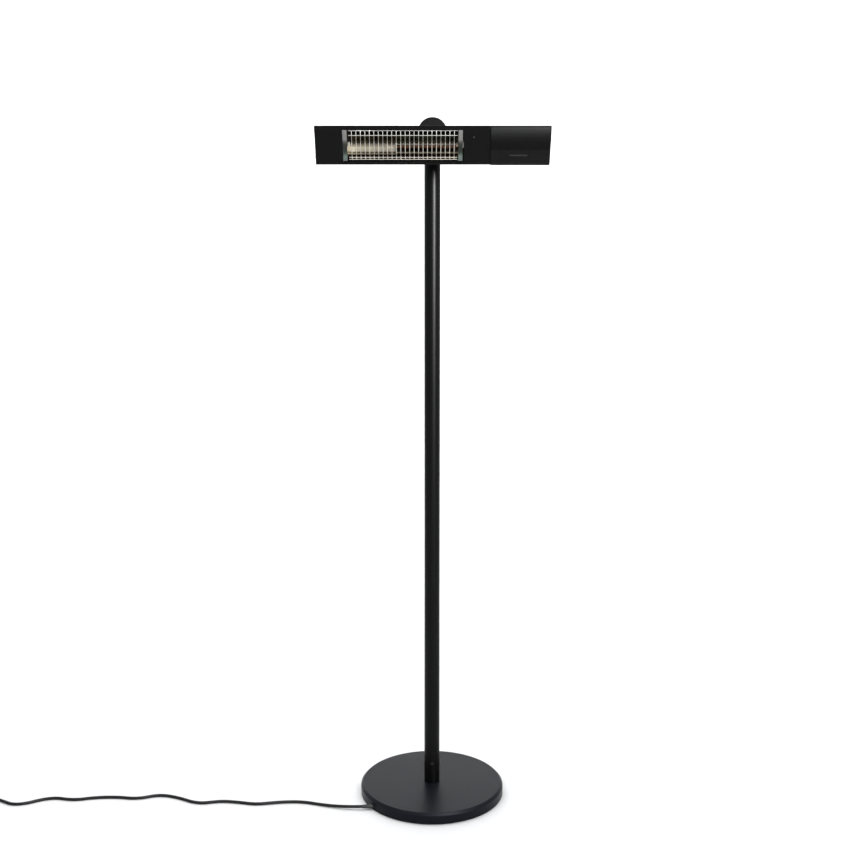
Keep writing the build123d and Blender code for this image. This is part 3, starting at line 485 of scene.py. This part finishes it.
# Bare or plated metal with drawn or rolled marks along its length.
def brushedMaterial(name, look):
    material, tree, shader, place = startMaterial(name)
    marks = useGroup(tree, brushMarks, {"Vector": place.outputs["Object"], "Squeeze": look["squeeze"]})
    tone = colourMix(tree, marks.outputs["Tone"], (*look["dark"], 1.0), (*look["light"], 1.0))
    tree.links.new(tone, shader.inputs["Base Color"])
    rough = mixValues(tree, marks.outputs["Height"], *look["rough"])
    tree.links.new(rough, shader.inputs["Roughness"])
    addBump(tree, shader, marks.outputs["Height"], look)
    setShader(shader, look["shader"])
    return material


coatedLooks = {
    "powderCoat": {
        "dark": (0.0018, 0.0018, 0.0020), "light": (0.0032, 0.0032, 0.0035), "fineness": 900.0,
        "drift": 5.0, "rough": (0.30, 0.40), "bump": 0.35, "depth": 0.00022, "dust": 0.008,
        "shader": {"Specular IOR Level": 0.10},
    },
    "discCoat": {
        "dark": (0.0018, 0.0018, 0.0020), "light": (0.0032, 0.0032, 0.0034), "fineness": 900.0,
        "drift": 9.0, "rough": (0.40, 0.50), "bump": 0.35, "depth": 0.00022, "dust": 0.008,
        "shader": {"Specular IOR Level": 0.055},
    },
    "baseCoat": {
        "dark": (0.0026, 0.0031, 0.0052), "light": (0.0046, 0.0054, 0.0086), "fineness": 900.0,
        "drift": 4.0, "rough": (0.32, 0.44), "bump": 0.30, "depth": 0.00022, "dust": 0.008,
        "shader": {"Specular IOR Level": 0.112, "Specular Tint": (0.84, 0.88, 1.0, 1.0)},
    },
    "screwBlack": {
        "dark": (0.012, 0.012, 0.013), "light": (0.03, 0.03, 0.032), "fineness": 1500.0,
        "drift": 60.0, "rough": (0.28, 0.42), "bump": 0.2, "depth": 0.0001, "dust": 0.0,
        "shader": {"Specular IOR Level": 0.5, "Metallic": 0.6},
    },
    "rubberBlack": {
        "dark": (0.012, 0.012, 0.012), "light": (0.020, 0.020, 0.020), "fineness": 1400.0,
        "drift": 30.0, "rough": (0.62, 0.80), "bump": 0.4, "depth": 0.0002, "dust": 0.04,
        "shader": {"Specular IOR Level": 0.35},
    },
    "cordJacket": {
        "dark": (0.005, 0.005, 0.005), "light": (0.009, 0.009, 0.0093), "fineness": 1800.0,
        "drift": 24.0, "rough": (0.46, 0.60), "bump": 0.35, "depth": 0.00015, "dust": 0.015,
        "shader": {"Specular IOR Level": 0.18},
    },
    "blackPlastic": {
        "dark": (0.006, 0.006, 0.0065), "light": (0.010, 0.010, 0.0107), "fineness": 2200.0,
        "drift": 20.0, "rough": (0.38, 0.50), "bump": 0.45, "depth": 0.00012, "dust": 0.02,
        "shader": {"Specular IOR Level": 0.25},
    },
    "coverGloss": {
        "dark": (0.0012, 0.0012, 0.0014), "light": (0.0022, 0.0022, 0.0026), "fineness": 260.0,
        "drift": 7.0, "rough": (0.20, 0.28), "bump": 0.05, "depth": 0.0001, "dust": 0.004,
        "shader": {"Specular IOR Level": 0.10},
    },
    "castIron": {
        "dark": (0.05, 0.05, 0.05), "light": (0.11, 0.108, 0.105), "fineness": 420.0,
        "drift": 14.0, "rough": (0.6, 0.8), "bump": 0.7, "depth": 0.0006, "dust": 0.0,
        "shader": {"Metallic": 0.7},
    },
    "lampCeramic": {
        "dark": (0.62, 0.58, 0.50), "light": (0.80, 0.77, 0.70), "fineness": 1600.0,
        "drift": 60.0, "rough": (0.55, 0.75), "bump": 0.3, "depth": 0.00015, "dust": 0.0,
        "shader": {"Specular IOR Level": 0.4},
    },
    "boardGreen": {
        "dark": (0.006, 0.05, 0.018), "light": (0.012, 0.09, 0.03), "fineness": 500.0,
        "drift": 120.0, "rough": (0.25, 0.4), "bump": 0.4, "depth": 0.0002, "dust": 0.0,
        "shader": {"Specular IOR Level": 0.5},
    },
    "glassBraid": {
        "dark": (0.42, 0.40, 0.35), "light": (0.62, 0.60, 0.54), "fineness": 1300.0,
        "drift": 200.0, "rough": (0.7, 0.9), "bump": 0.8, "depth": 0.0004, "dust": 0.0,
        "shader": {"Specular IOR Level": 0.3},
    },
    "badgeSatin": {
        "dark": (0.020, 0.020, 0.022), "light": (0.034, 0.034, 0.037), "fineness": 700.0,
        "drift": 40.0, "rough": (0.30, 0.42), "bump": 0.15, "depth": 0.0001, "dust": 0.0,
        "shader": {"Metallic": 0.5, "Specular IOR Level": 0.3},
    },
    "ledLens": {
        "dark": (0.10, 0.11, 0.115), "light": (0.16, 0.17, 0.18), "fineness": 900.0,
        "drift": 200.0, "rough": (0.12, 0.2), "bump": 0.05, "depth": 0.0001, "dust": 0.0,
        "shader": {"Specular IOR Level": 0.6},
    },
}

brushedLooks = {
    "platedSteel": {
        "dark": (0.42, 0.42, 0.41), "light": (0.58, 0.58, 0.57), "squeeze": (300.0, 300.0, 30.0),
        "rough": (0.28, 0.45), "bump": 0.2, "depth": 0.0002, "shader": {"Metallic": 1.0},
    },
    "plugPins": {
        "dark": (0.52, 0.50, 0.46), "light": (0.66, 0.64, 0.60), "squeeze": (900.0, 40.0, 900.0),
        "rough": (0.15, 0.28), "bump": 0.1, "depth": 0.0001, "shader": {"Metallic": 1.0},
    },
    "filamentMetal": {
        "dark": (0.14, 0.13, 0.13), "light": (0.26, 0.25, 0.24), "squeeze": (40.0, 900.0, 900.0),
        "rough": (0.35, 0.5), "bump": 0.1, "depth": 0.0001, "shader": {"Metallic": 1.0},
    },
}


# Distance from the face's centre along one of the head's own directions, as 0 at low and 1 at high.
def alongHead(tree, place, direction, low, high):
    start = Vector(headFrame["centre"]).dot(Vector(direction))
    along = addNode(tree, "ShaderNodeVectorMath", {
        0: place.outputs["Object"], 1: direction,
    }, operation="DOT_PRODUCT")
    share = addNode(tree, "ShaderNodeMapRange", {
        "Value": along.outputs["Value"], "From Min": start + low, "From Max": start + high,
    })
    return share.outputs["Result"]


# Colours at their places from 0 to 1, the stops given from low to high.
def colourRamp(tree, share, stops):
    ramp = tree.nodes.new("ShaderNodeValToRGB")
    elements = ramp.color_ramp.elements
    elements[0].position, elements[1].position = stops[0][0], stops[-1][0]
    elements[0].color, elements[1].color = (*stops[0][1], 1.0), (*stops[-1][1], 1.0)
    for stop, colour in stops[1:-1]:
        elements.new(stop).color = (*colour, 1.0)
    tree.links.new(share, ramp.inputs["Fac"])
    return ramp.outputs["Color"]


# Metal with pale and darker bands that follow the height, their edges shaken a little by blotches,
# with fine uneven marks.
def bandedMetalMaterial(name, look):
    material, tree, shader, place = startMaterial(name)
    marks = useGroup(tree, brushMarks, {"Vector": place.outputs["Object"], "Squeeze": look["squeeze"]})
    blotch = addNode(tree, "ShaderNodeTexNoise", {
        "Vector": place.outputs["Object"], "Scale": look["blotch"], "Detail": 5.0, "Roughness": 0.6,
    })
    parts = addNode(tree, "ShaderNodeSeparateXYZ", {0: place.outputs["Object"]})
    low, high = look["band"]
    rise = addNode(tree, "ShaderNodeMapRange", {
        "Value": parts.outputs["Z"], "From Min": low, "From Max": high,
    })
    shaken = mathOf(tree, "MULTIPLY_ADD", blotch.outputs[0], look["shake"])
    tree.links.new(rise.outputs[0], shaken.node.inputs[2])
    tint = colourRamp(tree, shaken, look["tints"])
    streak = mixValues(tree, marks.outputs["Tone"], look["streak"], 1.0)
    shaded = addNode(tree, "ShaderNodeVectorMath", {0: tint, "Scale": streak}, operation="SCALE")
    tree.links.new(shaded.outputs["Vector"], shader.inputs["Base Color"])
    rough = mixValues(tree, marks.outputs["Height"], *look["rough"])
    tree.links.new(rough, shader.inputs["Roughness"])
    addBump(tree, shader, marks.outputs["Height"], look)
    setShader(shader, {"Metallic": 1.0})
    return material


guardLow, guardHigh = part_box("wire_guard")
bandedLooks = {
    "guardSteel": {
        "squeeze": (300.0, 300.0, 300.0), "blotch": 45.0, "shake": 0.02,
        "band": (guardLow[2], guardHigh[2]), "streak": 0.75,
        "tints": [
            (0.00, (0.95, 0.90, 0.82)), (0.12, (0.93, 0.87, 0.76)), (0.15, (0.38, 0.35, 0.30)),
            (0.21, (0.38, 0.35, 0.30)), (0.25, (0.93, 0.90, 0.82)), (0.57, (0.90, 0.88, 0.82)),
            (0.61, (0.34, 0.33, 0.30)), (0.78, (0.34, 0.33, 0.30)), (0.81, (0.85, 0.85, 0.80)),
            (1.00, (0.92, 0.92, 0.88)),
        ],
        "rough": (0.20, 0.32), "bump": 0.1, "depth": 0.0002,
    },
}


# Painted reflections and painted shade on the reflector: colour by height, a bright side and a dark
# side.
troughReflections = {
    "brightReflectionSide": [
        (0.00, (0.05, 0.042, 0.036)), (0.07, (0.035, 0.024, 0.014)), (0.12, (0.012, 0.006, 0.003)),
        (0.145, (0.06, 0.045, 0.028)), (0.167, (0.50, 0.44, 0.33)), (0.19, (0.24, 0.20, 0.14)),
        (0.213, (0.34, 0.30, 0.22)), (0.228, (0.84, 0.79, 0.66)), (0.33, (0.90, 0.86, 0.72)),
        (0.352, (0.050, 0.040, 0.026)), (0.50, (0.028, 0.024, 0.014)), (0.68, (0.020, 0.019, 0.012)),
        (1.00, (0.05, 0.05, 0.042)),
    ],
    "darkReflectionSide": [
        (0.00, (0.06, 0.054, 0.046)), (0.06, (0.045, 0.040, 0.034)), (0.10, (0.012, 0.006, 0.004)),
        (0.148, (0.030, 0.020, 0.012)), (0.168, (0.10, 0.08, 0.05)), (0.19, (0.46, 0.41, 0.31)),
        (0.213, (0.28, 0.25, 0.19)), (0.232, (0.030, 0.024, 0.012)), (0.29, (0.012, 0.008, 0.004)),
        (0.305, (0.13, 0.09, 0.06)), (0.325, (0.18, 0.06, 0.028)), (0.350, (0.026, 0.024, 0.016)),
        (0.68, (0.016, 0.018, 0.012)), (1.00, (0.045, 0.048, 0.042)),
    ],
    "changeFrom": -0.112,
    "changeTo": -0.100,
    "squeeze": (420.0, 14.0, 14.0),
    "ripple": 0.02,
    "streak": (0.45, 1.35),
    "rough": (0.08, 0.20),
    "bump": 0.3,
    "depth": 0.0005,
    "matteFrom": 0.08,
    "matteTo": 0.40,
    "matteMetal": 0.10,
}


# The reflector: painted reflections in bands along the trough, pale cream and gold where bright
# things are mirrored and near black painted shade elsewhere, one ramp for the bright side and one
# for the dark side, with streaks from rolling across them. The palest painted-reflection bands are
# made less metallic, so that their painted colour shows instead of a mirror image.
def troughMaterial(name, look):
    material, tree, shader, place = startMaterial(name)
    marks = useGroup(tree, brushMarks, {"Vector": place.outputs["Object"], "Squeeze": look["squeeze"]})
    reach = headFrame["rampReach"]
    share = alongHead(tree, place, headFrame["up"], -reach, reach)
    ripple = mathOf(tree, "MULTIPLY_ADD", marks.outputs["Tone"], look["ripple"])
    tree.links.new(share, ripple.node.inputs[2])
    # Painted reflections: one ramp for the bright side, one for the dark side, swapped along X.
    brightSideTint = colourRamp(tree, ripple, look["brightReflectionSide"])
    darkSideTint = colourRamp(tree, ripple, look["darkReflectionSide"])
    parts = addNode(tree, "ShaderNodeSeparateXYZ", {0: place.outputs["Object"]})
    change = addNode(tree, "ShaderNodeMapRange", {
        "Value": parts.outputs["X"], "From Min": look["changeFrom"], "From Max": look["changeTo"],
    }, interpolation_type="SMOOTHSTEP")
    tint = colourMix(tree, change.outputs["Result"], brightSideTint, darkSideTint)
    streak = mixValues(tree, marks.outputs["Tone"], *look["streak"])
    shaded = addNode(tree, "ShaderNodeVectorMath", {0: tint, "Scale": streak}, operation="SCALE")
    tree.links.new(shaded.outputs["Vector"], shader.inputs["Base Color"])
    rough = mixValues(tree, marks.outputs["Height"], *look["rough"])
    tree.links.new(rough, shader.inputs["Roughness"])
    addBump(tree, shader, marks.outputs["Height"], look)
    # The palest painted reflections lose their metal, so that the painted colour shows.
    pale = addNode(tree, "ShaderNodeRGBToBW", {"Color": tint})
    metal = addNode(tree, "ShaderNodeMapRange", {
        "Value": pale.outputs[0], "From Min": look["matteFrom"], "From Max": look["matteTo"],
        "To Min": 1.0, "To Max": look["matteMetal"],
    })
    tree.links.new(metal.outputs["Result"], shader.inputs["Metallic"])
    return material


# Painted reflections, painted shade and painted glints on the reflector's end pieces, by height.
troughEndLook = {
    "flange": [
        (0.00, (0.12, 0.14, 0.128)), (0.07, (0.150, 0.178, 0.160)), (0.13, (0.175, 0.215, 0.195)),
        (0.19, (0.165, 0.200, 0.180)), (0.246, (0.085, 0.105, 0.090)), (0.30, (0.045, 0.055, 0.047)),
        (0.42, (0.040, 0.045, 0.038)), (0.537, (0.055, 0.056, 0.050)), (0.595, (0.12, 0.12, 0.112)),
        (0.653, (0.24, 0.24, 0.23)), (0.886, (0.27, 0.27, 0.255)), (1.00, (0.36, 0.36, 0.345)),
    ],
    "plate": [
        (0.00, (0.05, 0.04, 0.035)), (0.15, (0.08, 0.07, 0.06)), (0.20, (0.85, 0.82, 0.74)),
        (0.43, (0.90, 0.87, 0.79)), (0.48, (0.10, 0.09, 0.07)), (1.00, (0.07, 0.07, 0.055)),
    ],
    "flangeDepth": (0.0045, 0.0060),
    "creaseScale": 160.0,
    "creaseEdge": (0.02, 0.10),
    "glintFrom": 0.48,
    "glintTo": 0.60,
    "paintedGlint": (0.55, 0.55, 0.50),
    "squeeze": (60.0, 60.0, 260.0),
    "rough": (0.16, 0.32),
    "bump": 0.2,
    "depth": 0.0004,
}


# The reflector's end pieces, coloured with painted reflections: a pale flange beside the window whose
# painted reflection turns greenish low down, and a splayed plate behind it, with a bright painted
# reflection at the foot, painted shade above, and light painted glints in crease-shaped patches.
def troughEndMaterial(name, look):
    material, tree, shader, place = startMaterial(name)
    marks = useGroup(tree, brushMarks, {"Vector": place.outputs["Object"], "Squeeze": look["squeeze"]})
    reach = headFrame["rampReach"]
    share = alongHead(tree, place, headFrame["up"], -reach, reach)
    behind = alongHead(tree, place, headFrame["rear"], *look["flangeDepth"])
    creases = addNode(tree, "ShaderNodeTexVoronoi", {
        "Vector": place.outputs["Object"], "Scale": look["creaseScale"],
    }, feature="DISTANCE_TO_EDGE")
    low, high = look["creaseEdge"]
    patches = addNode(tree, "ShaderNodeMapRange", {
        "Value": creases.outputs["Distance"], "From Min": low, "From Max": high,
        "To Min": 1.0, "To Max": 0.0,
    })
    above = addNode(tree, "ShaderNodeMapRange", {
        "Value": share, "From Min": look["glintFrom"], "From Max": look["glintTo"],
    })
    # Painted glints: light patches inside the crease cells, only above the given height.
    paintedGlint = mathOf(tree, "MULTIPLY", patches.outputs[0], above.outputs[0])
    plate = colourMix(tree, paintedGlint, colourRamp(tree, share, look["plate"]), (*look["paintedGlint"], 1.0))
    tint = colourMix(tree, behind, colourRamp(tree, share, look["flange"]), plate)
    tree.links.new(tint, shader.inputs["Base Color"])
    rough = mixValues(tree, marks.outputs["Height"], *look["rough"])
    tree.links.new(rough, shader.inputs["Roughness"])
    addBump(tree, shader, marks.outputs["Height"], look)
    setShader(shader, {"Metallic": 1.0})
    return material


# Painted sheen: clear-coat weight by height on the cover.
coverShine = {
    "reach": 0.055,
    "roughness": 0.16,
    "stops": [
        (0.00, 0.16), (0.36, 0.16), (0.378, 0.30), (0.392, 0.03), (0.60, 0.06), (0.71, 0.20),
        (0.80, 0.50), (0.88, 0.95), (0.955, 1.00), (0.975, 0.25), (1.00, 0.12),
    ],
}


# Painted sheen on the cover: the clear coat's weight follows the height, strong along its top roll,
# weak over the hollow, stronger on the band, to stand in for how the light falls on it.
def addCoverShine(material, shine):
    tree = material.node_tree
    place = tree.nodes.new("ShaderNodeTexCoord")
    share = alongHead(tree, place, headFrame["up"], -shine["reach"], shine["reach"])
    paintedSheen = colourRamp(tree, share, [(stop, (level,) * 3) for stop, level in shine["stops"]])
    shader = tree.nodes["Principled BSDF"]
    tree.links.new(paintedSheen, shader.inputs["Coat Weight"])
    setShader(shader, {"Coat Roughness": shine["roughness"]})


quartzLook = {
    "dark": (0.95, 0.84, 0.70),
    "light": (0.98, 0.93, 0.86),
    "squeeze": (8.0, 700.0, 700.0),
    "rough": (0.02, 0.07),
    "shader": {"Transmission Weight": 1.0, "IOR": 1.46},
}


# Clear quartz with a faint amber wash and drawn streaks along the tube.
def quartzMaterial(name, look):
    material, tree, shader, place = startMaterial(name)
    marks = useGroup(tree, brushMarks, {"Vector": place.outputs["Object"], "Squeeze": look["squeeze"]})
    wash = colourMix(tree, marks.outputs["Tone"], (*look["dark"], 1.0), (*look["light"], 1.0))
    tree.links.new(wash, shader.inputs["Base Color"])
    rough = mixValues(tree, marks.outputs["Height"], *look["rough"])
    tree.links.new(rough, shader.inputs["Roughness"])
    setShader(shader, look["shader"])
    return material


materials = {name: coatedMaterial(name, look) for name, look in coatedLooks.items()}
materials |= {name: brushedMaterial(name, look) for name, look in brushedLooks.items()}
materials |= {name: bandedMetalMaterial(name, look) for name, look in bandedLooks.items()}
materials["reflectorMetal"] = troughMaterial("reflectorMetal", troughReflections)
materials["reflectorEnds"] = troughEndMaterial("reflectorEnds", troughEndLook)
materials["quartzGlass"] = quartzMaterial("quartzGlass", quartzLook)
addCoverShine(materials["coverGloss"], coverShine)

# Which pieces wear which finish.
wears = {
    "powderCoat": [
        "pole_lower", "pole_middle", "pole_upper", "pole_cap", "pivot_fork", "housing", "front_panel",
        "end_cap_left", "end_cap_right", "head_bracket",
    ],
    "discCoat": ["mount_disc"],
    "baseCoat": ["base_cover"],
    "platedSteel": [
        "base_plate", "pole_spigot", "base_tie_bolts", "coupler_lower", "coupler_upper",
        "pole_saddle", "nut_plate", "pivot_washers", "heat_shields", "board_posts", "lamp_holders",
    ],
    "screwBlack": [
        "pole_set_screws", "fork_screws", "end_cap_screws", "bracket_screws", "pivot_bolt", "pivot_nut",
    ],
    "castIron": ["base_ballast"],
    "rubberBlack": ["base_feet", "base_grommet", "pole_grommet"],
    "cordJacket": ["inner_lead", "head_lead", "mains_cord", "cord_coil", "cord_end"],
    "blackPlastic": ["coil_tie", "plug_body", "rear_gland", "switch_body", "rocker"],
    "plugPins": ["plug_pins"],
    "coverGloss": ["control_cover"],
    "badgeSatin": ["badge_plate"],
    "ledLens": ["led_lens"],
    "reflectorMetal": ["reflector"],
    "reflectorEnds": ["reflector_end_left", "reflector_end_right"],
    "guardSteel": ["wire_guard"],
    "quartzGlass": ["lamp_tube"],
    "filamentMetal": ["heating_coil"],
    "lampCeramic": ["lamp_caps", "terminal_block"],
    "boardGreen": ["control_board"],
    "glassBraid": ["lamp_wires"],
}


# One material on the whole piece.
def dressPiece(piece, material):
    if piece.material_slots:
        for slot in piece.material_slots:
            slot.material = material
    else:
        piece.data.materials.append(material)


for finish, names in wears.items():
    for name in names:
        dressPiece(nodes[name], materials[finish])
dressPiece(mainsLead, materials["cordJacket"])
dressPiece(headLoop, materials["cordJacket"])
dressPiece(filament, materials["filamentMetal"])
undressed = sorted(set(nodes) - {name for names in wears.values() for name in names})
print("stage: materials, nodes without one:", undressed)

# Floor, backdrop and the air's light
studio = {
    "floorColour": (0.86, 0.86, 0.86),
    "cloudLift": 1.02,
    "cloudScale": 0.6,
    "halfWidth": 16.0,
    "front": -16.0,
    "bend": 5.0,
    "bendRadius": 2.5,
    "bendSteps": 24,
    "height": 7.0,
    "world": (0.97, 0.98, 1.0),
    "worldStrength": 0.80,
}


# Pale floor that turns up into a wall: straight, a quarter circle, then straight, carried along X.
def makeBackdrop(look):
    quarter = np.linspace(0.0, math.pi / 2.0, look["bendSteps"])
    depth = np.concatenate([
        [look["front"]], look["bend"] + look["bendRadius"] * np.sin(quarter),
        [look["bend"] + look["bendRadius"]],
    ])
    rise = np.concatenate([[0.0], look["bendRadius"] * (1.0 - np.cos(quarter)), [look["height"]]])
    across = np.array([-look["halfWidth"], look["halfWidth"]])
    grid = np.stack([
        np.broadcast_to(across[None, :], (len(depth), 2)),
        np.broadcast_to(depth[:, None], (len(depth), 2)),
        np.broadcast_to(rise[:, None], (len(depth), 2)),
    ], axis=-1)
    backdrop = gridPiece("backdrop", grid)
    material, tree, shader, place = startMaterial("backdropPaper")
    cloud = addNode(tree, "ShaderNodeTexNoise", {
        "Vector": place.outputs["Object"], "Scale": look["cloudScale"],
    })
    pale = look["floorColour"]
    lifted = [part * look["cloudLift"] for part in pale]
    paper = colourMix(tree, cloud.outputs[0], (*pale, 1.0), (*lifted, 1.0))
    tree.links.new(paper, shader.inputs["Base Color"])
    setShader(shader, {"Roughness": 0.9, "Specular IOR Level": 0.1})
    dressPiece(backdrop, material)


# Light panels: over the heater, over the backdrop, and a narrow one that only shows as a streak
# in glossy surfaces.
panels = {
    "skyPanel": {
        "place": (0.0, 0.4, 5.2), "aim": (0.0, 0.4, 0.0), "size": (7.0, 5.0), "energy": 150.0,
        "glossOnly": False,
    },
    "backPanel": {
        "place": (0.0, 2.2, 5.0), "aim": (0.0, 7.0, 2.5), "size": (12.0, 2.0), "energy": 460.0,
        "glossOnly": False,
    },
    "streakPanel": {
        "place": (1.70, -3.06, 2.60), "aim": (0.0, 0.0, 1.9), "size": (0.16, 1.4), "energy": 560.0,
        "glossOnly": True,
    },
}


# A rectangular panel at its place, turned so that it shines at its aim.
def makePanel(name, panel):
    data = bpy.data.lights.new(name, "AREA")
    data.shape = "RECTANGLE"
    data.size, data.size_y = panel["size"]
    data.energy = panel["energy"]
    light = bpy.data.objects.new(name, data)
    light.location = panel["place"]
    heading = Vector(panel["aim"]) - Vector(panel["place"])
    light.rotation_euler = heading.to_track_quat("-Z", "Y").to_euler()
    light.visible_diffuse = not panel["glossOnly"]
    scene.collection.objects.link(light)


# The same soft light from all round.
def makeWorld(look):
    world = bpy.data.worlds.new("studioAir")
    world.use_nodes = True
    background = world.node_tree.nodes["Background"]
    background.inputs["Color"].default_value = (*look["world"], 1.0)
    background.inputs["Strength"].default_value = look["worldStrength"]
    scene.world = world


makeBackdrop(studio)
makeWorld(studio)
for name, panel in panels.items():
    makePanel(name, panel)
print("stage: studio")

print("stage: done")
